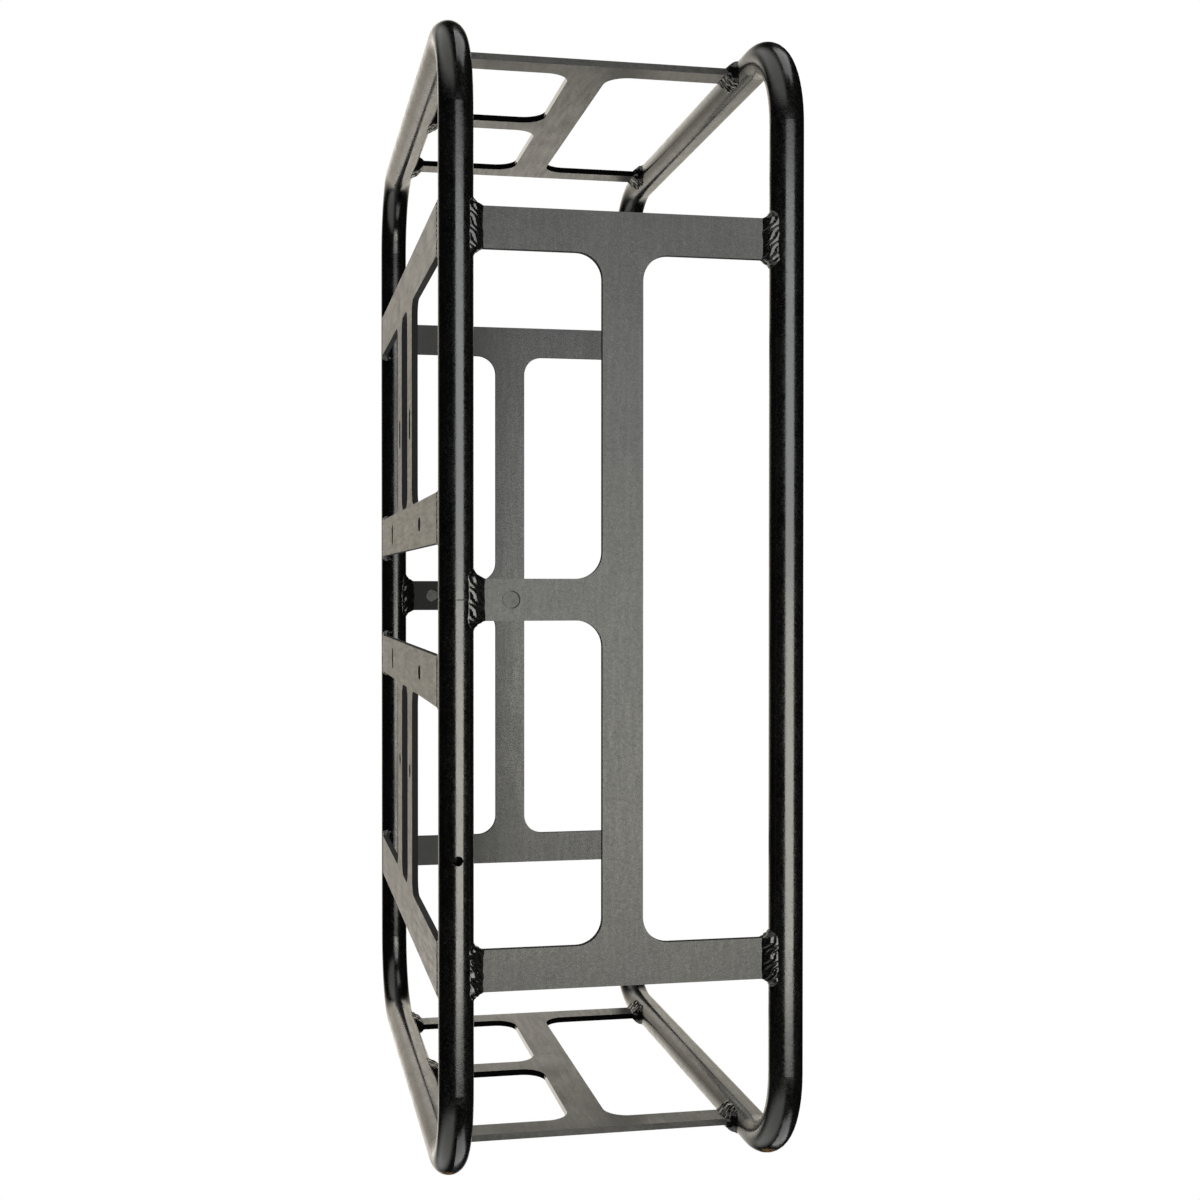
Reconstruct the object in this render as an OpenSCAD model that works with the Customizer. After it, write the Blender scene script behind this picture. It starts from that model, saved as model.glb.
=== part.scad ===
// Rigid carrier basket: two bent tube rings joined by laser-cut plates,
// with two slatted floor panels and a weld bead at every joint.
// +X is the length, +Y the width, +Z up. The origin is at the middle of
// the underside. Front is -Y, back is +Y, left is -X and right is +X.

/* [Overall size] */
// Overall length, over the tubes
basket_l = 542; // [500:1:640]
// Overall width, over the tubes
basket_w = 336; // [300:1:400]
// Overall height, over the tubes
basket_h = 171; // [155:1:200]

/* [Ring tubes] */
// Outer diameter of the tube
tube_d = 16; // [14:0.5:18]
// Wall thickness of the tube
tube_wall = 1.5; // [1:0.1:2.5]
// Bend radius at the corners, to the tube's centreline
bend_r = 42; // [34:1:50]
// Diameter of the vent hole in each ring
vent_d = 4.5; // [3:0.5:6]
// Distance of the vent hole from the middle of the long run
vent_x = 116; // [60:1:140]
// Width of the butt seam's groove
seam_w = 0.6; // [0.4:0.1:1]
// Depth of the butt seam's groove
seam_depth = 0.3; // [0.1:0.1:0.4]

/* [Wall plates] */
// Thickness of the wall plates
plate_t = 3.2; // [2.5:0.1:4]
// Height of the middle of each spine above the underside
spine_z = 84.5; // [75:0.5:95]
// Width of each spine
spine_w = 19; // [14:0.5:24]
// Distance of a long plate's outer arms from its middle
long_arm_x = 167; // [150:1:180]
// Width of a long plate's arms
long_arm_w = 19; // [14:0.5:24]
// Distance of an end plate's outer arms from its middle
end_arm_y = 97; // [85:1:105]
// Width of an end plate's arms
end_arm_w = 14; // [10:0.5:20]
// Radius in the corners of the windows
window_r = 12; // [4:0.5:16]
// Diameter of the flush plug in a long plate's middle arm
plug_d = 8; // [5:0.5:10]
// Height of the plug above the underside
plug_z = 33; // [28:0.5:40]

/* [Floor panels] */
// Thickness of the floor panels
floor_t = 3.2; // [2.5:0.1:4]
// Distance of the inner slats from the middle
inner_slat_x = 37; // [30:1:50]
// Width of the inner slats
inner_slat_w = 23; // [18:0.5:28]
// Distance of the outer slats from the middle
outer_slat_x = 167; // [150:1:180]
// Width of the outer slats
outer_slat_w = 24; // [18:0.5:28]
// Distance of the ribs from the middle
rib_y = 28.5; // [24:0.5:40]
// Width of the ribs
rib_w = 24; // [16:0.5:28]
// Radius where a rib meets a slat
rib_r = 8; // [2:0.5:10]

/* [Fixing holes] */
// Width of every slot, and diameter of the round holes
slot_w = 7; // [5:0.5:8]
// Distance of the slots in the inner slats from the middle
slat_slot_y = 78; // [65:1:95]
// Length of the front slots, which run across the basket
front_slot_l = 11; // [9:0.5:16]
// Length of the back slots, which run along the basket
back_slot_l = 12.4; // [9:0.2:14]
// Distance of the rib holes from the middle
rib_hole_x = 92; // [80:1:110]
// Length of the slots in the left panel's ribs
rib_slot_l = 16.4; // [9:0.2:20]

/* [Weld beads] */
// Radius of the beads on the walls
bead_r = 6; // [4:0.5:7]
// How far a bead runs past the edge of its arm or slat
bead_over = 2.5; // [1:0.5:4]
// Radius of the beads on top of the slat ends
top_bead_r = 3.5; // [2.5:0.1:3.5]
// Radius of the beads under the slat ends
under_bead_r = 2.6; // [2:0.1:3]

/* [Hidden] */
$fn = 64;

tube_r = tube_d / 2;
// Half length and half width of the rings, to the tube's centreline
half_l = basket_l / 2 - tube_r;
half_w = basket_w / 2 - tube_r;
// Heights of the two rings' centrelines
floor_ring_z = tube_r;
rim_ring_z = basket_h - tube_r;
// The crown of the floor ring and the underside of the rim ring
wall_bottom = tube_d;
wall_top = basket_h - tube_d;
// Edges of the spines
spine_bottom = spine_z - spine_w / 2;
spine_top = spine_z + spine_w / 2;
// How far a wall plate's end is let into the tube before it is coped
cope = 0.5;
// How far the plug stands proud of each face of its plate
plug_proud = 0.3;
// The slats stop here, just short of the floor ring
slat_end_y = half_w - 7;
// Middle of the bead on top of a slat end, from the ring's centreline
top_bead_in = tube_r + 0.5;
// Height of the middle of the bead on top of a slat end, over the slat
top_bead_lift = 0.5;
// Middle of the bead under a slat end, from the ring's centreline
under_bead_in = 5.2;
// Gap that keeps the underside beads clear of the ground
under_clear = 0.1;
// Small overlap that keeps cuts clean
eps = 0.01;
coat = "#20201f";
bead_coat = "#161616";

// ---------- rings ----------

// A straight length of round bar along X, centred
module bar_x(length, r) {
    rotate([0, 90, 0]) cylinder(h = length, r = r, center = true);
}

// A straight length of round bar along Y, centred
module bar_y(length, r) {
    rotate([90, 0, 0]) cylinder(h = length, r = r, center = true);
}

// A quarter bend in the corner between +X and +Y
module corner_bend(r) {
    translate([half_l - bend_r, half_w - bend_r, 0])
        rotate_extrude(angle = 90)
            translate([bend_r, 0])
                circle(r = r);
}

// A closed rounded rectangle of round bar on the plane Z = 0
module ring_bar(r) {
    for (side = [-1, 1]) {
        translate([0, side * half_w, 0]) bar_x(2 * (half_l - bend_r), r);
        translate([side * half_l, 0, 0]) bar_y(2 * (half_w - bend_r), r);
    }
    for (m = [0, 1], n = [0, 1])
        mirror([m, 0, 0]) mirror([0, n, 0]) corner_bend(r);
}

// The vent hole: from the bore out through the wall, towards -Y
module vent_cut(x, y) {
    translate([x, y, 0])
        rotate([90, 0, 0])
            cylinder(h = tube_d, d = vent_d);
}

// The groove of the butt seam, round the tube on a long run
module seam_cut(y) {
    translate([0, y, 0]) difference() {
        bar_x(seam_w, tube_r + 1);
        bar_x(seam_w + 2, tube_r - seam_depth);
    }
}

module floor_ring() {
    color(coat) translate([0, 0, floor_ring_z]) difference() {
        ring_bar(tube_r);
        ring_bar(tube_r - tube_wall);
        vent_cut(vent_x, -half_w);
        seam_cut(-half_w);
    }
}

module rim_ring() {
    color(coat) translate([0, 0, rim_ring_z]) difference() {
        ring_bar(tube_r);
        ring_bar(tube_r - tube_wall);
        vent_cut(vent_x, half_w);
        seam_cut(half_w);
    }
}

// ---------- wall plates ----------

// A window that is open on its far side (+Y of the drawing), with its
// two near corners rounded; its near edge lies on Y = 0
module open_window(width, height, r) {
    translate([-width / 2, r]) square([width, height - r]);
    translate([-width / 2 + r, 0]) square([width - 2 * r, r + eps]);
    for (side = [-1, 1])
        translate([side * (width / 2 - r), r]) circle(r = r);
}

// The outline of a wall plate: a spine, two full-height arms and a
// short middle arm that runs down to the floor ring
module wall_outline(arm_at, arm_w) {
    bottom = wall_bottom - cope;
    top = wall_top + cope;
    low_w = arm_at - arm_w;
    difference() {
        translate([-arm_at - arm_w / 2, bottom])
            square([2 * arm_at + arm_w, top - bottom]);
        translate([0, spine_top])
            open_window(2 * arm_at - arm_w, top - spine_top + 1, window_r);
        for (side = [-1, 1])
            translate([side * arm_at / 2, spine_bottom])
                mirror([0, 1])
                    open_window(low_w, spine_bottom - bottom + 1, window_r);
    }
}

// A wall plate that stands on the XZ plane, coped over both rings
module wall_plate(arm_at, arm_w) {
    difference() {
        rotate([90, 0, 0])
            linear_extrude(height = plate_t, center = true)
                wall_outline(arm_at, arm_w);
        for (z = [floor_ring_z, rim_ring_z])
            translate([0, 0, z]) bar_x(2 * arm_at + 2 * arm_w, tube_r);
    }
}

// A long plate: a wall plate with a hole for the plug
module long_plate() {
    difference() {
        wall_plate(long_arm_x, long_arm_w);
        translate([0, 0, plug_z]) bar_y(plate_t + 2, plug_d / 2);
    }
}

module front_side_plate() {
    color(coat) translate([0, -half_w, 0]) long_plate();
}

module back_side_plate() {
    color(coat) translate([0, half_w, 0]) long_plate();
}

module left_end_plate() {
    color(coat) translate([-half_l, 0, 0]) rotate([0, 0, 90]) wall_plate(end_arm_y, end_arm_w);
}

module right_end_plate() {
    color(coat) translate([half_l, 0, 0]) rotate([0, 0, 90]) wall_plate(end_arm_y, end_arm_w);
}

// The flush plug in a long plate's middle arm
module plug(y) {
    color(bead_coat) translate([0, y, plug_z]) bar_y(plate_t + 2 * plug_proud, plug_d / 2);
}

module front_plug() {
    plug(-half_w);
}

module back_plug() {
    plug(half_w);
}

// ---------- floor panels ----------

// A slot with round ends, centred, along X
module slot_x(length) {
    run = length - slot_w;
    square([run, slot_w], center = true);
    for (side = [-1, 1])
        translate([side * run / 2, 0]) circle(d = slot_w);
}

// A window with four rounded corners, centred
module closed_window(width, height, r) {
    square([width, height - 2 * r], center = true);
    square([width - 2 * r, height], center = true);
    for (i = [-1, 1], j = [-1, 1])
        translate([i * (width / 2 - r), j * (height / 2 - r)]) circle(r = r);
}

// The outline of a floor panel on the +X side: two slats across the
// basket, joined by two ribs
module floor_outline() {
    inner_edge = inner_slat_x - inner_slat_w / 2;
    outer_edge = outer_slat_x + outer_slat_w / 2;
    bay_start = inner_slat_x + inner_slat_w / 2;
    bay_w = outer_slat_x - outer_slat_w / 2 - bay_start;
    rib_outer = rib_y + rib_w / 2;
    rib_inner = rib_y - rib_w / 2;
    difference() {
        translate([inner_edge, -slat_end_y])
            square([outer_edge - inner_edge, 2 * slat_end_y]);
        translate([bay_start + bay_w / 2, 0])
            closed_window(bay_w, 2 * rib_inner, rib_r);
        for (m = [0, 1])
            mirror([0, m])
                translate([bay_start + bay_w / 2, rib_outer])
                    open_window(bay_w, slat_end_y - rib_outer + 1, rib_r);
    }
}

// A floor panel on the +X side: rib_length is the length of the slots
// in its ribs, or slot_w for round holes
module floor_panel(rib_length) {
    linear_extrude(height = floor_t) difference() {
        floor_outline();
        translate([inner_slat_x, -slat_slot_y]) rotate(90) slot_x(front_slot_l);
        translate([inner_slat_x, slat_slot_y]) slot_x(back_slot_l);
        for (side = [-1, 1])
            translate([rib_hole_x, side * rib_y]) rib_hole(rib_length);
    }
}

// A hole in a rib: round, or a slot along X
module rib_hole(length) {
    if (length > slot_w)
        slot_x(length);
    else
        circle(d = slot_w);
}

module left_floor_panel() {
    color(coat) mirror([1, 0, 0]) floor_panel(rib_slot_l);
}

module right_floor_panel() {
    color(coat) floor_panel(slot_w);
}

// ---------- weld beads ----------

// A bar along X with round ends, centred; length is over the ends
module capsule_x(length, r) {
    run = length - 2 * r;
    bar_x(run, r);
    for (side = [-1, 1])
        translate([side * run / 2, 0, 0]) sphere(r = r);
}

// The bead round the foot of an arm, on top of a bar along X whose
// centreline is the X axis; the arm stands up along +Z
module wall_bead(arm_w) {
    length = arm_w + 2 * bead_over;
    difference() {
        translate([0, 0, tube_r]) capsule_x(length, bead_r);
        bar_x(length + 2, tube_r);
        translate([-arm_w / 2, -plate_t / 2, 0]) cube([arm_w, plate_t, tube_d + bead_r]);
    }
}

// A bead on a long side: side is -1 for the front and 1 for the back
module long_wall_bead(side, x, rim) {
    color(bead_coat)
        translate([x, side * half_w, rim ? rim_ring_z : floor_ring_z])
            rotate([rim ? 180 : 0, 0, 0])
                wall_bead(long_arm_w);
}

// A bead on an end: side is -1 for the left and 1 for the right
module end_wall_bead(side, y, rim) {
    color(bead_coat)
        translate([side * half_l, y, rim ? rim_ring_z : floor_ring_z])
            rotate([0, 0, 90])
                rotate([rim ? 180 : 0, 0, 0])
                    wall_bead(end_arm_w);
}

// The bead at a slat's end: one run on top and one underneath
module slat_bead(slat_x, slat_w, side) {
    length = slat_w + 2 * bead_over;
    color(bead_coat) mirror([0, side < 0 ? 1 : 0, 0]) translate([slat_x, 0, 0]) difference() {
        union() {
            translate([0, half_w - top_bead_in, floor_t + top_bead_lift])
                capsule_x(length, top_bead_r);
            translate([0, half_w - under_bead_in, under_bead_r + under_clear])
                capsule_x(length, under_bead_r);
        }
        translate([0, half_w, floor_ring_z]) bar_x(length + 2, tube_r);
        translate([-slat_w / 2, slat_end_y - tube_d, 0]) cube([slat_w, tube_d, floor_t]);
    }
}

module front_left_rim_weld() { long_wall_bead(-1, -long_arm_x, true); }
module front_right_rim_weld() { long_wall_bead(-1, long_arm_x, true); }
module front_left_floor_weld() { long_wall_bead(-1, -long_arm_x, false); }
module front_middle_floor_weld() { long_wall_bead(-1, 0, false); }
module front_right_floor_weld() { long_wall_bead(-1, long_arm_x, false); }
module back_left_rim_weld() { long_wall_bead(1, -long_arm_x, true); }
module back_right_rim_weld() { long_wall_bead(1, long_arm_x, true); }
module back_left_floor_weld() { long_wall_bead(1, -long_arm_x, false); }
module back_middle_floor_weld() { long_wall_bead(1, 0, false); }
module back_right_floor_weld() { long_wall_bead(1, long_arm_x, false); }
module left_front_rim_weld() { end_wall_bead(-1, -end_arm_y, true); }
module left_back_rim_weld() { end_wall_bead(-1, end_arm_y, true); }
module left_front_floor_weld() { end_wall_bead(-1, -end_arm_y, false); }
module left_middle_floor_weld() { end_wall_bead(-1, 0, false); }
module left_back_floor_weld() { end_wall_bead(-1, end_arm_y, false); }
module right_front_rim_weld() { end_wall_bead(1, -end_arm_y, true); }
module right_back_rim_weld() { end_wall_bead(1, end_arm_y, true); }
module right_front_floor_weld() { end_wall_bead(1, -end_arm_y, false); }
module right_middle_floor_weld() { end_wall_bead(1, 0, false); }
module right_back_floor_weld() { end_wall_bead(1, end_arm_y, false); }
module left_outer_slat_front_weld() { slat_bead(-outer_slat_x, outer_slat_w, -1); }
module left_outer_slat_back_weld() { slat_bead(-outer_slat_x, outer_slat_w, 1); }
module left_inner_slat_front_weld() { slat_bead(-inner_slat_x, inner_slat_w, -1); }
module left_inner_slat_back_weld() { slat_bead(-inner_slat_x, inner_slat_w, 1); }
module right_inner_slat_front_weld() { slat_bead(inner_slat_x, inner_slat_w, -1); }
module right_inner_slat_back_weld() { slat_bead(inner_slat_x, inner_slat_w, 1); }
module right_outer_slat_front_weld() { slat_bead(outer_slat_x, outer_slat_w, -1); }
module right_outer_slat_back_weld() { slat_bead(outer_slat_x, outer_slat_w, 1); }

// ---------- assembly ----------

floor_ring();
rim_ring();
front_side_plate();
back_side_plate();
left_end_plate();
right_end_plate();
left_floor_panel();
right_floor_panel();
front_plug();
back_plug();
front_left_rim_weld();
front_right_rim_weld();
front_left_floor_weld();
front_middle_floor_weld();
front_right_floor_weld();
back_left_rim_weld();
back_right_rim_weld();
back_left_floor_weld();
back_middle_floor_weld();
back_right_floor_weld();
left_front_rim_weld();
left_back_rim_weld();
left_front_floor_weld();
left_middle_floor_weld();
left_back_floor_weld();
right_front_rim_weld();
right_back_rim_weld();
right_front_floor_weld();
right_middle_floor_weld();
right_back_floor_weld();
left_outer_slat_front_weld();
left_outer_slat_back_weld();
left_inner_slat_front_weld();
left_inner_slat_back_weld();
right_inner_slat_front_weld();
right_inner_slat_back_weld();
right_outer_slat_front_weld();
right_outer_slat_back_weld();
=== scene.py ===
"""Looks for a rigid, welded, black powder-coated carrier basket: materials, weld beads, light and camera."""

import math
import random

import bmesh
import bpy
import numpy as np
from mathutils import Matrix, Vector


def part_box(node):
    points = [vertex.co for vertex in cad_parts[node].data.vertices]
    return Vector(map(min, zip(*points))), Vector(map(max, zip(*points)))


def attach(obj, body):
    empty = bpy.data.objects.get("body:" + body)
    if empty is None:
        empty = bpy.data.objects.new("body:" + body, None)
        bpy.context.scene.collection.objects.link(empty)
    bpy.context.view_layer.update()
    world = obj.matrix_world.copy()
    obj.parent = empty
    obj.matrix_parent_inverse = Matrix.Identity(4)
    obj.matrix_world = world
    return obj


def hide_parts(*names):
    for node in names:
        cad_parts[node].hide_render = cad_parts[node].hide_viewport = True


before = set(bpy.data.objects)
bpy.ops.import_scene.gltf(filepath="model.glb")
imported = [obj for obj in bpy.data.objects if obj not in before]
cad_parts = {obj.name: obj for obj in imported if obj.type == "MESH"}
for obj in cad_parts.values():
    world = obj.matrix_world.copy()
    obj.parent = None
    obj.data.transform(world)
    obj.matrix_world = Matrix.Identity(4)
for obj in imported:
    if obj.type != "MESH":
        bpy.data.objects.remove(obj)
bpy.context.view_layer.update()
scene = bpy.context.scene
MM = 0.001


# ---------- the basket's main sizes, read from the frame ----------

ring_low, ring_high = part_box("floor_ring")
rim_low, rim_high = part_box("rim_ring")
plate_low, plate_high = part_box("front_side_plate")
panel_low, panel_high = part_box("right_floor_panel")
TUBE_R = (ring_high.z - ring_low.z) / 2
HALF_L = ring_high.x - TUBE_R
HALF_W = ring_high.y - TUBE_R
RING_Z = {"floor": (ring_low.z + ring_high.z) / 2, "rim": (rim_low.z + rim_high.z) / 2}
PLATE_T = plate_high.y - plate_low.y
SLAT_T = panel_high.z
SLAT_END_IN = HALF_W - panel_high.y
END_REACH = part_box("left_end_plate")[1].y


# ---------- procedural materials ----------

# Noise scales, in features a metre
CLOUDS = 42
WIDE_PEEL = 190
RUST_PATCHES = 330
STREAKS = 420
MOTTLE = 620
FINE_PEEL = 1100
FLECKS = 2600

# Heights of the orange peel
WIDE_PEEL_HEIGHT = 0.045 * MM
FINE_PEEL_HEIGHT = 0.030 * MM

NEAR_BLACK = (0.001, 0.001, 0.001)
RUST_TONE = (0.19, 0.086, 0.012)
RUST_RADIUS = 10 * MM


def add_node(tree, kind, inputs=None, **settings):
    """A new shader node with its settings and its unlinked inputs."""
    node = tree.nodes.new(kind)
    for key, value in settings.items():
        setattr(node, key, value)
    for key, value in (inputs or {}).items():
        node.inputs[key].default_value = value
    return node


def noise(tree, vector, scale, detail=2.0, rough=0.5):
    """The grey output of a noise texture; scale is in features a metre."""
    node = add_node(tree, "ShaderNodeTexNoise", {"Scale": scale, "Detail": detail, "Roughness": rough})
    tree.links.new(vector, node.inputs["Vector"])
    return node.outputs["Fac"]


def remap(tree, value, low, high, to_low, to_high):
    """value taken from low..high to to_low..to_high, clamped."""
    node = add_node(
        tree, "ShaderNodeMapRange",
        {"From Min": low, "From Max": high, "To Min": to_low, "To Max": to_high},
    )
    tree.links.new(value, node.inputs["Value"])
    return node.outputs["Result"]


def math_node(tree, operation, a, b):
    """a and b, each an output or a number, put through one math operation."""
    node = add_node(tree, "ShaderNodeMath", operation=operation)
    for socket, value in zip(node.inputs, (a, b)):
        if isinstance(value, (int, float)):
            socket.default_value = value
        else:
            tree.links.new(value, socket)
    return node.outputs[0]


def mix_colour(tree, factor, a, b):
    """a and b, each an output or a colour, mixed by factor."""
    node = add_node(tree, "ShaderNodeMix", data_type="RGBA")
    tree.links.new(factor, node.inputs["Factor"])
    for socket, value in zip((node.inputs[6], node.inputs[7]), (a, b)):
        if isinstance(value, tuple):
            socket.default_value = (*value, 1.0)
        else:
            tree.links.new(value, socket)
    return node.outputs[2]


def mix_value(tree, factor, a, b):
    """a, an output, and b, a number, mixed by factor."""
    node = add_node(tree, "ShaderNodeMix", data_type="FLOAT")
    tree.links.new(factor, node.inputs[0])
    tree.links.new(a, node.inputs[2])
    node.inputs[3].default_value = b
    return node.outputs[0]


def spot_mask(tree, position, centres, radius):
    """1 at each centre, falling to 0 at radius from it."""
    total = 0.0
    for centre in centres:
        gap = add_node(tree, "ShaderNodeVectorMath", operation="DISTANCE")
        gap.inputs[1].default_value = centre
        tree.links.new(position, gap.inputs[0])
        spot = remap(tree, gap.outputs["Value"], 0.0, radius, 1.0, 0.0)
        total = math_node(tree, "MAXIMUM", spot, total)
    return total


def object_position(tree):
    """The X, Y and Z outputs of a point's place on the part."""
    split = add_node(tree, "ShaderNodeSeparateXYZ")
    tree.links.new(add_node(tree, "ShaderNodeTexCoord").outputs["Object"], split.inputs[0])
    return split.outputs["X"], split.outputs["Y"], split.outputs["Z"]


def edge_mask(tree, face, reach):
    """1 on a sheet part's cut edges, those turned away from the axis named in face, and 0 on its faces. It
    masks the painted shade on the cut edges. With reach, the edges further than that from the middle in Y are
    left out."""
    turned = add_node(tree, "ShaderNodeVectorMath", operation="DOT_PRODUCT")
    turned.inputs[1].default_value = face
    tree.links.new(add_node(tree, "ShaderNodeTexCoord").outputs["Normal"], turned.inputs[0])
    edge = remap(tree, math_node(tree, "ABSOLUTE", turned.outputs["Value"], 0.0), 0.5, 0.8, 1.0, 0.0)
    if reach:
        off_middle = math_node(tree, "ABSOLUTE", object_position(tree)[1], 0.0)
        inner = remap(tree, off_middle, reach - MM, reach, 1.0, 0.0)
        edge = math_node(tree, "MULTIPLY", edge, inner)
    return edge


def powder_coat(name, dark, light, rough, peel, grain=(1, 1, 1), specular=1.0, speck=0.03, face=None,
                edge_rough=1.0, edge_reach=None, grit=0.17, rust=()):
    """Satin powder coat: orange peel, fine specks and rubbed streaks along the grain. With face, cut edges
    are painted black as painted shade, with their own roughness, as edge_mask says. At each point in rust the
    coat is rubbed to bare brown."""
    material = bpy.data.materials.new(name)
    material.use_nodes = True
    tree = material.node_tree
    shader = tree.nodes["Principled BSDF"]
    shader.inputs["IOR"].default_value = 1.5
    shader.inputs["Specular IOR Level"].default_value = specular
    position = add_node(tree, "ShaderNodeTexCoord").outputs["Object"]
    stretch = add_node(tree, "ShaderNodeMapping", {"Scale": grain})
    tree.links.new(position, stretch.inputs["Vector"])

    cloud = noise(tree, position, CLOUDS, 3.0, 0.55)
    fleck = noise(tree, position, FLECKS, 1.0)
    streak = noise(tree, stretch.outputs["Vector"], STREAKS, 4.0, 0.6)
    fine = noise(tree, position, FINE_PEEL)
    wave = noise(tree, position, WIDE_PEEL)
    mottle = noise(tree, position, MOTTLE, 3.0, 0.75)

    tone = mix_colour(tree, remap(tree, cloud, 0.35, 0.68, 0.0, 1.0), dark, light)
    speck_tone = (speck, speck, 0.95 * speck)
    tone = mix_colour(tree, remap(tree, fleck, 0.62, 0.76, 0.0, 1.0), tone, speck_tone)
    dust = tuple(2.5 * c for c in light)
    tone = mix_colour(tree, remap(tree, streak, 0.60, 0.80, 0.0, 0.6), tone, dust)
    gloss = remap(tree, streak, 0.25, 0.75, rough - 0.05, rough + 0.07)
    gloss = math_node(tree, "ADD", gloss, remap(tree, cloud, 0.3, 0.7, -0.03, 0.03))
    gloss = math_node(tree, "ADD", gloss, remap(tree, mottle, 0.3, 0.7, grit * rough, -grit * rough))
    # painted shade: the cut edges are coloured near black and get their own roughness
    if face:
        edge = edge_mask(tree, face, edge_reach)
        tone = mix_colour(tree, edge, tone, NEAR_BLACK)
        gloss = mix_value(tree, edge, gloss, edge_rough)
    if rust:
        spots = spot_mask(tree, position, rust, RUST_RADIUS)
        patch = math_node(tree, "MULTIPLY", spots, noise(tree, position, RUST_PATCHES, 4.0))
        bare = remap(tree, patch, 0.20, 0.32, 0.0, 1.0)
        tone = mix_colour(tree, bare, tone, RUST_TONE)
        gloss = math_node(tree, "ADD", gloss, math_node(tree, "MULTIPLY", bare, 0.2))
    tree.links.new(tone, shader.inputs["Base Color"])
    tree.links.new(gloss, shader.inputs["Roughness"])

    height = math_node(tree, "MULTIPLY", fine, FINE_PEEL_HEIGHT * peel)
    height = math_node(tree, "ADD", height, math_node(tree, "MULTIPLY", wave, WIDE_PEEL_HEIGHT * peel))
    bump = add_node(tree, "ShaderNodeBump", {"Strength": 1.0, "Distance": 1.0})
    tree.links.new(height, bump.inputs["Height"])
    tree.links.new(bump.outputs["Normal"], shader.inputs["Normal"])
    return material


def darken(material, mask):
    """Makes a coat black and matt where mask is 1."""
    tree = material.node_tree
    shader = tree.nodes["Principled BSDF"]
    rough = shader.inputs["Roughness"].links[0].from_socket
    tree.links.new(mix_value(tree, mask, rough, 1.0), shader.inputs["Roughness"])
    tone = shader.inputs["Base Color"].links[0].from_socket
    tree.links.new(mix_colour(tree, mask, tone, NEAR_BLACK), shader.inputs["Base Color"])


def draw_plug_rim(material):
    """A dark line just inside a plug's edge, for the joint round the plug. Keeping it to the half that faces
    the rim ring is painted shade, for the side of the joint that lies in shade.
    """
    tree = material.node_tree
    low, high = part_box("front_plug")
    centre, radius = (low + high) / 2, (high.x - low.x) / 2
    x, _, z = object_position(tree)
    aside = math_node(tree, "SUBTRACT", x, centre.x)
    up = math_node(tree, "SUBTRACT", z, centre.z)
    squares = [math_node(tree, "POWER", offset, 2.0) for offset in (aside, up)]
    from_centre = math_node(tree, "SQRT", math_node(tree, "ADD", *squares), 0.0)
    line = remap(tree, from_centre, 0.84 * radius, 0.93 * radius, 0.0, 1.0)
    # painted shade: the joint line is drawn on its shaded half only
    shaded_half = remap(tree, up, -0.2 * radius, 0.4 * radius, 0.0, 1.0)
    darken(material, math_node(tree, "MULTIPLY", line, shaded_half))


def draw_painted_shade_low(material):
    """Painted shade on the back plate: its short middle arm is painted nearly black at its foot, and the
    plate is painted darker low down, towards the floor ring.
    """
    tree = material.node_tree
    x, _, z = object_position(tree)
    # painted shade: nearly black at the middle arm's foot
    foot = remap(tree, math_node(tree, "ABSOLUTE", x, 0.0), 24 * MM, 34 * MM, 0.85, 0.0)
    foot = math_node(tree, "MULTIPLY", foot, remap(tree, z, 44 * MM, 56 * MM, 1.0, 0.0))
    # painted shade: darker low down
    low = remap(tree, z, 45 * MM, 92 * MM, 0.4, 0.0)
    darken(material, math_node(tree, "MAXIMUM", foot, low))


def draw_butt_joint(material):
    """The thin dark line where the floor ring's tube closes, at the middle of its front side. It shows on the
    tube's upper half only."""
    tree = material.node_tree
    x, y, z = object_position(tree)
    line = remap(tree, math_node(tree, "ABSOLUTE", x, 0.0), 0.10 * MM, 0.32 * MM, 0.8, 0.0)
    limits = (
        remap(tree, z, 0.85 * TUBE_R, TUBE_R, 0.0, 1.0),
        math_node(tree, "LESS_THAN", z, 2 * TUBE_R),
        math_node(tree, "LESS_THAN", y, -HALF_W + 2 * TUBE_R),
    )
    for limit in limits:
        line = math_node(tree, "MULTIPLY", line, limit)
    darken(material, line)


# Where the two near bends at the right end are rubbed down to brown
RUBBED = [(HALF_L + 0.66 * TUBE_R, -HALF_W + 17 * MM, z - 0.35 * TUBE_R) for z in RING_Z.values()]

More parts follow.
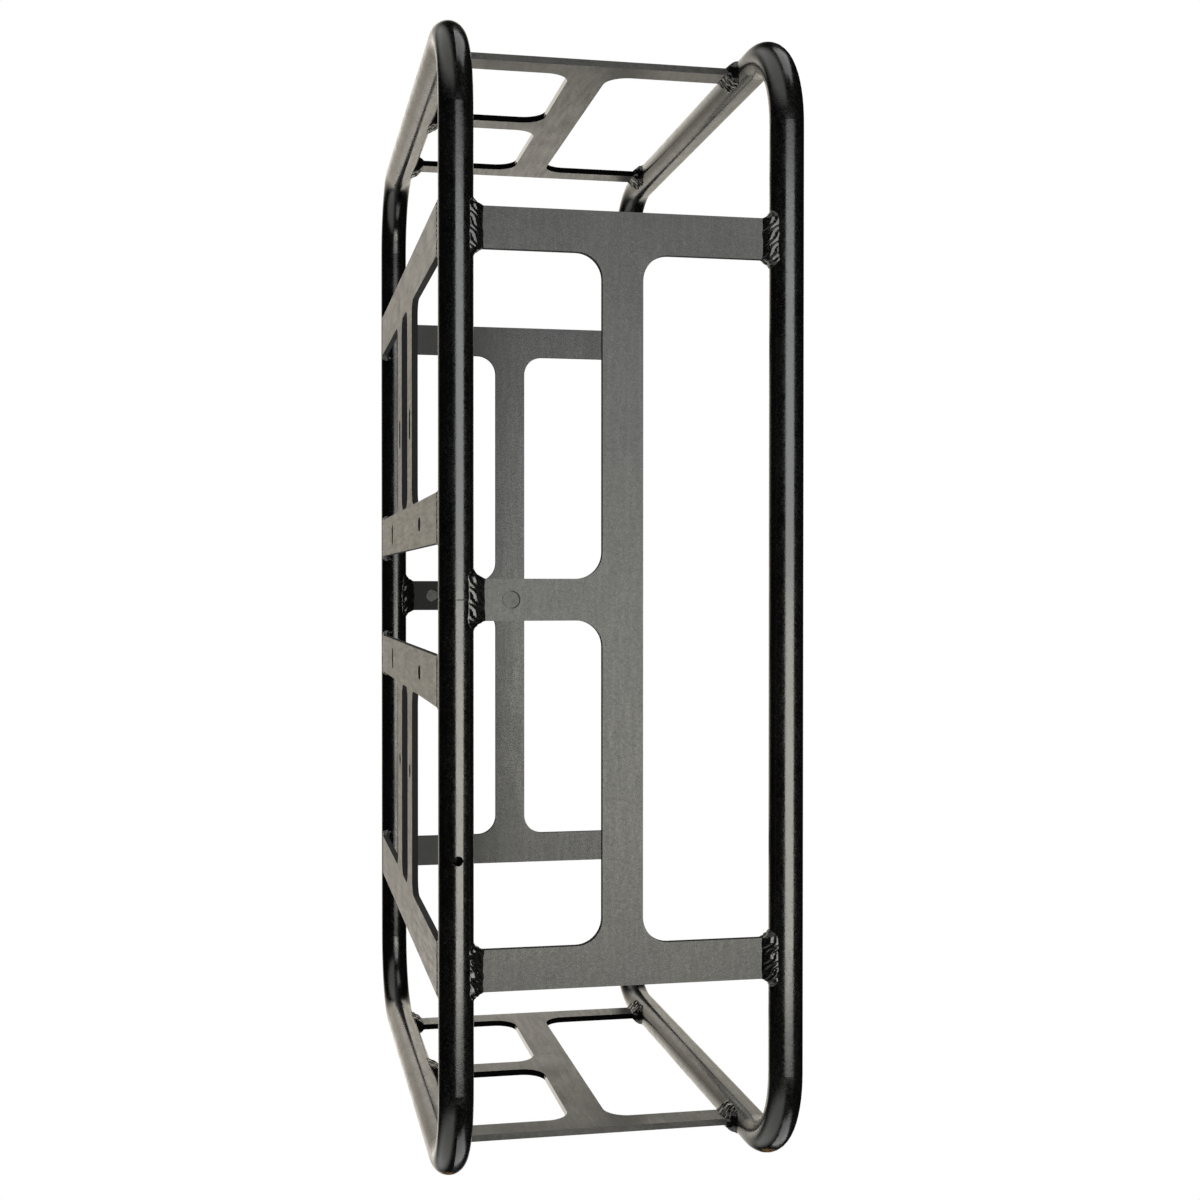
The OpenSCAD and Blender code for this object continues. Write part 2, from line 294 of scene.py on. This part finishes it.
WALL_TONES = {"dark": (0.012, 0.012, 0.0115), "light": (0.032, 0.032, 0.029)}
FLOOR_TONES = {"dark": (0.012, 0.0115, 0.0105), "light": (0.022, 0.021, 0.018)}
COATS = {
    "tube_coat": powder_coat(
        "tube_coat", (0.0004, 0.0004, 0.0004), (0.0012, 0.0012, 0.0011), rough=0.20, peel=0.8,
        grain=(0.25, 0.25, 1), specular=0.90, grit=0.42, rust=RUBBED),
    "plate_coat": powder_coat(
        "plate_coat", **WALL_TONES, rough=0.44, peel=1.2, grain=(0.1, 1, 1), specular=0.68, speck=0.14,
        face=(0, 1, 0)),
    "back_plate_coat": powder_coat(
        "back_plate_coat", **WALL_TONES, rough=0.38, peel=1.2, grain=(0.1, 1, 1), specular=0.95, speck=0.14,
        face=(0, 1, 0)),
    "floor_coat": powder_coat(
        "floor_coat", **FLOOR_TONES, rough=0.36, peel=0.8, grain=(1, 0.1, 1), speck=0.10, face=(0, 0, 1)),
    "end_plate_coat": powder_coat(
        "end_plate_coat", **FLOOR_TONES, rough=0.34, peel=0.8, grain=(1, 0.1, 1), speck=0.10, face=(1, 0, 0),
        edge_rough=0.07, edge_reach=END_REACH - MM),
    "plug_coat": powder_coat(
        "plug_coat", (0.010, 0.010, 0.0095), (0.026, 0.026, 0.024), rough=0.42, peel=1.2, specular=0.60),
    "weld_coat": powder_coat(
        "weld_coat", (0.0005, 0.0005, 0.0005), (0.0015, 0.0015, 0.0015), rough=0.16, peel=2.0, specular=0.85),
}
draw_plug_rim(COATS["plug_coat"])
draw_butt_joint(COATS["tube_coat"])
# painted shade on the back plate, low down and at its middle arm's foot
draw_painted_shade_low(COATS["back_plate_coat"])


def node_coat(node):
    """The coat that a carried-over CAD node gets."""
    if node.endswith("_ring"):
        return "tube_coat"
    if node == "back_side_plate":
        return "back_plate_coat"
    if node.endswith("_end_plate"):
        return "end_plate_coat"
    if node.endswith("_floor_panel"):
        return "floor_coat"
    if node.endswith("_plug"):
        return "plug_coat"
    return "plate_coat"


for node_name, node_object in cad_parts.items():
    node_object.data.materials.clear()
    node_object.data.materials.append(COATS[node_coat(node_name)])


# ---------- weld beads ----------

STEP = 0.3 * MM          # between a bead's stations along its path
FACE_POINTS = 13         # across a bead, from toe to toe
TURN_LENGTH = 7 * MM     # of the bead's path round each edge of an arm or slat
TOE_SINK = 0.15 * MM     # how far a bead's toe lies inside the tube's skin
ROOT_INSET = 0.8 * MM    # how far a bead's hidden root lies inside the arm's or slat's edges
WOBBLE = 0.16 * MM       # of the toes, from one place to the next


def loop_path(half_width, turn_length):
    """Walks once round the foot of an arm or slat: (distance along, u, angle). The angle is 90 degrees on the
    outer face, 0 in the middle of the right edge and -90 on the inner face."""
    side = 2 * half_width
    stations, walked = [], 0.0
    for first_angle, sign in ((90, 1), (-90, -1)):
        steps = max(8, round(side / STEP))
        for i in range(steps):
            stations.append((walked, sign * (-half_width + side * i / steps), first_angle))
            walked += side / steps
        steps = max(12, round(turn_length / STEP))
        for i in range(steps):
            stations.append((walked, sign * half_width, first_angle - 180 * i / steps))
            walked += turn_length / steps
    return stations, walked


def wall_section(arm_reach, tube_reach, end_reach):
    """The toes of the bead where an arm stands on a tube, in (u, out, up) from the tube's centreline."""
    half_t = PLATE_T / 2

    def section(u, turn, wobble):
        across, along = math.sin(turn), math.cos(turn)
        side = across * across
        out = half_t * across
        reach = end_reach + (tube_reach - end_reach) * side + wobble
        rise = 0.72 * arm_reach + 0.28 * arm_reach * side + wobble
        toe_out = out + reach * across
        toe_up = math.sqrt(TUBE_R ** 2 - min(abs(toe_out), TUBE_R - 0.3 * MM) ** 2)
        arm_toe = (u - 0.2 * MM * along, out - 0.2 * MM * across, TUBE_R + rise)
        tube_toe = (u + reach * along, toe_out, toe_up - TOE_SINK)
        root = (u - ROOT_INSET * along, 0.5 * out, TUBE_R - 1.2 * MM)
        return arm_toe, tube_toe, root, (-0.55 + 1.05 * side) * MM
    return section


def slat_section(slat_reach, end_reach):
    """The toes of the bead where a slat's end meets the tube, in (u, in, up) from the tube's centreline."""
    top, bottom = SLAT_T - TUBE_R, -TUBE_R

    def section(u, turn, wobble):
        across, along = math.sin(turn), math.cos(turn)
        side = across * across
        up = (top + bottom) / 2 + (top - bottom) / 2 * across
        reach = slat_reach if across > 0 else 0.45 * slat_reach
        toe_angle = math.radians(-40 + 32 * across) + wobble / TUBE_R
        slat_toe = (u - 0.15 * MM * along, SLAT_END_IN + reach + wobble, up - 0.1 * MM * across)
        tube_toe = (
            u + end_reach * along,
            (TUBE_R - TOE_SINK) * math.cos(toe_angle),
            (TUBE_R - TOE_SINK) * math.sin(toe_angle),
        )
        root = (u - ROOT_INSET * along, 0.75 * SLAT_END_IN, (top + bottom) / 2)
        return slat_toe, tube_toe, root, (-0.2 if across > -0.5 else 0.0) * MM
    return section


def bead_rings(half_width, section, pitch, ripple, lean, seed):
    """The rings of points of a bead that runs once round a foot, with its frozen ripples as real geometry."""
    draw = random.Random(seed)
    waves = [(draw.uniform(0.4, 1.0), k, draw.uniform(0, math.tau)) for k in (2, 3, 5, 9)]
    stations, total = loop_path(half_width, TURN_LENGTH)
    count = len(stations)
    pitch = total / round(total / pitch)
    share = np.linspace(0, 1, FACE_POINTS)
    face = np.zeros((count, FACE_POINTS, 3))
    roots = np.zeros((count, 3))
    phase = np.zeros((count, FACE_POINTS))
    strength = np.zeros((count, 1))
    for i, (walked, u, angle) in enumerate(stations):
        around = math.tau * walked / total
        wobble = WOBBLE * sum(a * math.sin(k * around + p) for a, k, p in waves)
        first, last, root, swell = section(u, math.radians(angle), wobble)
        first, last, roots[i] = np.array(first), np.array(last), root
        middle = (first + last) / 2
        out = middle - roots[i]
        out /= np.linalg.norm(out)
        face[i] = first + np.outer(share, last - first) + np.outer(np.sin(math.pi * share) * swell, out)
        shift = 0.22 * pitch * math.sin(7 * around + waves[0][2])
        strength[i] = 0.3 + 0.7 * math.sin(math.radians(angle)) ** 2
        phase[i] = (walked + lean * share + 1.6 * MM * share * share + shift) / pitch

    along = np.roll(face, -1, 0) - np.roll(face, 1, 0)
    across = np.gradient(face, axis=1)
    normal = np.cross(across, along)
    normal /= np.maximum(np.linalg.norm(normal, axis=2, keepdims=True), 1e-12)
    facing = np.sign((normal * (face - roots[:, None])).sum((1, 2)))
    normal *= facing[:, None, None]
    fraction = phase - np.floor(phase)
    crest = np.sin(math.pi * fraction ** 0.55)
    fade = strength * np.sin(math.pi * share ** 1.4) ** 0.7
    face += normal * (ripple * (crest - 0.4) * fade)[:, :, None]

    return np.concatenate([face, roots[:, None]], axis=1)


def ring_mesh(name, rings, to_world):
    """A closed mesh from rings of points that follow one another in a loop."""
    count, around = rings.shape[:2]
    points = [to_world @ Vector(p) for p in rings.reshape(-1, 3)]
    faces = []
    for i in range(count):
        for j in range(around):
            a, b = i * around + j, i * around + (j + 1) % around
            c, d = ((i + 1) % count) * around + (j + 1) % around, ((i + 1) % count) * around + j
            faces.append((a, b, c, d))
    mesh = bpy.data.meshes.new(name)
    mesh.from_pydata(points, [], faces)
    mesh.validate()
    mesh.update()
    return mesh


def finish_piece(name, mesh, coat, node):
    """Links a new piece, rides it on the basket and lets it stand for a CAD node."""
    work = bmesh.new()
    work.from_mesh(mesh)
    bmesh.ops.recalc_face_normals(work, faces=work.faces)
    work.to_mesh(mesh)
    work.free()
    mesh.shade_smooth()
    mesh.materials.append(COATS[coat])
    piece = bpy.data.objects.new(name, mesh)
    scene.collection.objects.link(piece)
    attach(piece, "root")
    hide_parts(node)


def axes_matrix(origin, u, v, w):
    """Takes local (u, v, w) coordinates to the part's frame."""
    matrix = Matrix((u, v, w)).transposed().to_4x4()
    matrix.translation = origin
    return matrix


X, Y, Z = Vector((1, 0, 0)), Vector((0, 1, 0)), Vector((0, 0, 1))
OUTWARD = {"front": -Y, "back": Y, "left": -X, "right": X}
BEAD_OVER = 2.5 * MM     # how far a CAD bead stands past each edge of its arm or slat
FIRST_SEED = 40

# How far a wall bead's toes reach up the arm, round the tube, and along the tube past the arm's edges
WIDE_REACHES = (5.2 * MM, 5.0 * MM, 4.6 * MM)
NARROW_REACHES = (4.4 * MM, 4.3 * MM, 4.0 * MM)
# How far a slat bead's toes reach in over the slat and past its edges
SLAT_REACHES = (4.2 * MM, 3.2 * MM)
WALL_RIPPLE = {"pitch": 3.7 * MM, "ripple": 0.75 * MM, "lean": 7.5 * MM}
SLAT_RIPPLE = {"pitch": 2.6 * MM, "ripple": 0.35 * MM, "lean": 3.0 * MM}


def wall_bead(node, seed):
    """The bead round the foot of a wall plate's arm. The node's name says its side, its arm and its ring."""
    side, arm, ring = node.split("_")[:3]
    outward = OUTWARD[side]
    low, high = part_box(node)
    along = X if side in ("front", "back") else Y
    half_width = (high - low).dot(along) / 2 - BEAD_OVER
    middle = (low + high) / 2
    origin = along * middle.dot(along) + Z * RING_Z[ring]
    origin += outward * (HALF_W if along == X else HALF_L)
    up = Z if ring == "floor" else -Z
    reaches = WIDE_REACHES if arm == "middle" else NARROW_REACHES
    rings = bead_rings(half_width, wall_section(*reaches), **WALL_RIPPLE, seed=seed)
    return ring_mesh(node + "_bead", rings, axes_matrix(origin, along, outward, up))


def slat_bead(node, seed):
    """The bead round the end of a floor slat. It is kept just above the basket's underside."""
    low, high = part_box(node)
    middle = (low + high) / 2
    inward = Y if middle.y < 0 else -Y
    origin = X * middle.x - inward * HALF_W + Z * RING_Z["floor"]
    half_width = (high.x - low.x) / 2 - BEAD_OVER
    rings = bead_rings(half_width, slat_section(*SLAT_REACHES), **SLAT_RIPPLE, seed=seed)
    rings[:, :, 2] = np.maximum(rings[:, :, 2], -TUBE_R + 0.05 * MM)
    return ring_mesh(node + "_bead", rings, axes_matrix(origin, X, inward, Z))


weld_nodes = sorted(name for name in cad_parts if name.endswith("_weld"))
for number, node_name in enumerate(weld_nodes):
    make = slat_bead if "_slat_" in node_name else wall_bead
    finish_piece(node_name + "_bead", make(node_name, FIRST_SEED + number), "weld_coat", node_name)


# ---------- stage, light and camera ----------

FLOOR_DROP = 0.4 * MM        # keeps the stage floor clear of the basket's underside
FLOOR_FADE = (0.33, 0.72)    # where the stage floor starts to fade out and where it is gone
# What the coats reflect: the dim room, the bounce from low at the sides, and the sheet behind the basket
ROOM_TONE = (0.008, 0.008, 0.008)
BOUNCE_TONE = (0.8, 0.8, 0.77)
SHEET_MIDDLE = (0.98, 0.91, 0.775)
SHEET_SIDES = (1.68, 1.59, 1.42)


def stage_floor():
    """A pale floor under the basket, drawn on its top side only: the main view looks up from below it."""
    bpy.ops.mesh.primitive_circle_add(
        vertices=96, radius=3.2, fill_type="TRIFAN", location=(0, 0, -FLOOR_DROP))
    floor = bpy.context.object
    floor.name = "stage_floor"
    material = bpy.data.materials.new("stage_pale")
    material.use_nodes = True
    tree = material.node_tree
    shader = tree.nodes["Principled BSDF"]
    shader.inputs["Roughness"].default_value = 0.9
    shader.inputs["Specular IOR Level"].default_value = 0.1
    shader.inputs["Emission Color"].default_value = (1, 1, 1, 1)
    shader.inputs["Emission Strength"].default_value = 0.6
    position = add_node(tree, "ShaderNodeTexCoord").outputs["Object"]
    shade = remap(tree, noise(tree, position, 30, 3.0), 0.3, 0.7, 0.0, 1.0)
    tone = mix_colour(tree, shade, (0.55, 0.55, 0.545), (0.58, 0.58, 0.575))
    tree.links.new(tone, shader.inputs["Base Color"])
    away = add_node(tree, "ShaderNodeVectorMath", operation="LENGTH")
    tree.links.new(position, away.inputs[0])
    rim = remap(tree, away.outputs["Value"], *FLOOR_FADE, 0.0, 1.0)
    under = add_node(tree, "ShaderNodeNewGeometry").outputs["Backfacing"]
    clear = math_node(tree, "MAXIMUM", rim, under)
    mix = add_node(tree, "ShaderNodeMixShader")
    glass = add_node(tree, "ShaderNodeBsdfTransparent")
    tree.links.new(clear, mix.inputs[0])
    tree.links.new(shader.outputs[0], mix.inputs[1])
    tree.links.new(glass.outputs[0], mix.inputs[2])
    tree.links.new(mix.outputs[0], tree.nodes["Material Output"].inputs["Surface"])
    floor.data.materials.append(material)
    floor.visible_glossy = False
    floor.visible_diffuse = False
    floor.visible_shadow = False


def studio_world():
    """White to the eye. For light and reflections, a warm pale sheet behind the basket, a bounce from low at
    the sides, and a dim room elsewhere."""
    world = bpy.data.worlds.new("studio")
    scene.world = world
    world.use_nodes = True
    tree = world.node_tree
    tree.nodes.clear()
    direction = add_node(tree, "ShaderNodeTexCoord").outputs["Generated"]
    split = add_node(tree, "ShaderNodeSeparateXYZ")
    tree.links.new(direction, split.inputs[0])
    behind = remap(tree, split.outputs["Y"], 0.80, 0.96, 0.0, 1.0)
    aside = math_node(tree, "ABSOLUTE", split.outputs["X"], 0.0)
    sideways = remap(tree, aside, 0.45, 0.65, 0.0, 1.0)
    below = remap(tree, split.outputs["Z"], -0.10, -0.32, 0.0, 1.0)
    colour = mix_colour(tree, math_node(tree, "MULTIPLY", sideways, below), ROOM_TONE, BOUNCE_TONE)
    sheet = mix_colour(tree, remap(tree, aside, 0.14, 0.3, 0.0, 1.0), SHEET_MIDDLE, SHEET_SIDES)
    colour = mix_colour(tree, behind, colour, sheet)
    room = add_node(tree, "ShaderNodeBackground")
    tree.links.new(colour, room.inputs["Color"])
    white = add_node(tree, "ShaderNodeBackground", {"Color": (1, 1, 1, 1), "Strength": 1.0})
    mix = add_node(tree, "ShaderNodeMixShader")
    eye = add_node(tree, "ShaderNodeLightPath").outputs["Is Camera Ray"]
    tree.links.new(eye, mix.inputs[0])
    tree.links.new(room.outputs[0], mix.inputs[1])
    tree.links.new(white.outputs[0], mix.inputs[2])
    output = add_node(tree, "ShaderNodeOutputWorld")
    tree.links.new(mix.outputs[0], output.inputs["Surface"])


def panel_light(name, place, target, width, height, power, colour=(1, 1, 1)):
    """A soft box at place, facing target, with its width as level as it can be."""
    data = bpy.data.lights.new(name, "AREA")
    data.shape = "RECTANGLE"
    data.size = width
    data.size_y = height
    data.energy = power
    data.color = colour
    light = bpy.data.objects.new(name, data)
    scene.collection.objects.link(light)
    light.location = place
    light.rotation_euler = (Vector(target) - Vector(place)).to_track_quat("-Z", "Y").to_euler()
    light.visible_camera = False


def camera():
    """Stands in front of the front side, a little below the basket's underside, turned so that the left end
    is up."""
    eye = Vector((-6.1, -845.7, -79.1)) * MM
    aim = Vector((1.6, 0.0, 79.0)) * MM
    data = bpy.data.cameras.new("camera")
    data.lens = 46.21
    data.sensor_width = 36.0
    data.shift_x = 0.045
    data.clip_start = 0.01
    data.clip_end = 60.0
    lens = bpy.data.objects.new("camera", data)
    scene.collection.objects.link(lens)
    forward = (aim - eye).normalized()
    up = (-X - forward * forward.dot(-X)).normalized()
    right = forward.cross(up)
    lens.matrix_world = Matrix((right, up, -forward)).transposed().to_4x4()
    lens.location = eye
    scene.camera = lens


FRONT_Y, FRONT_Z = -0.68, 0.22
SIDE_PLACE = Vector((1.2, -0.1, 0.45))

stage_floor()
studio_world()
for name, x, width, power, colour in (
        ("front_panel_left", -0.165, 0.33, 1.75, (0.98, 1.0, 1.0)),
        ("front_panel_right", 0.165, 0.33, 2.85, (1.0, 0.985, 0.89)),
        ("front_panel_wide", 0, 0.78, 2.1, (1, 1, 1))):
    panel_light(name, (x, FRONT_Y, FRONT_Z), (x, 0, FRONT_Z), width, 0.56, power, colour)
for name, side in (("left_panel", -1), ("right_panel", 1)):
    place = (side * SIDE_PLACE.x, SIDE_PLACE.y, SIDE_PLACE.z)
    panel_light(name, place, (0, 0, 0.1), 0.9, 0.6, 2.2)
camera()
scene.view_settings.view_transform = "Standard"
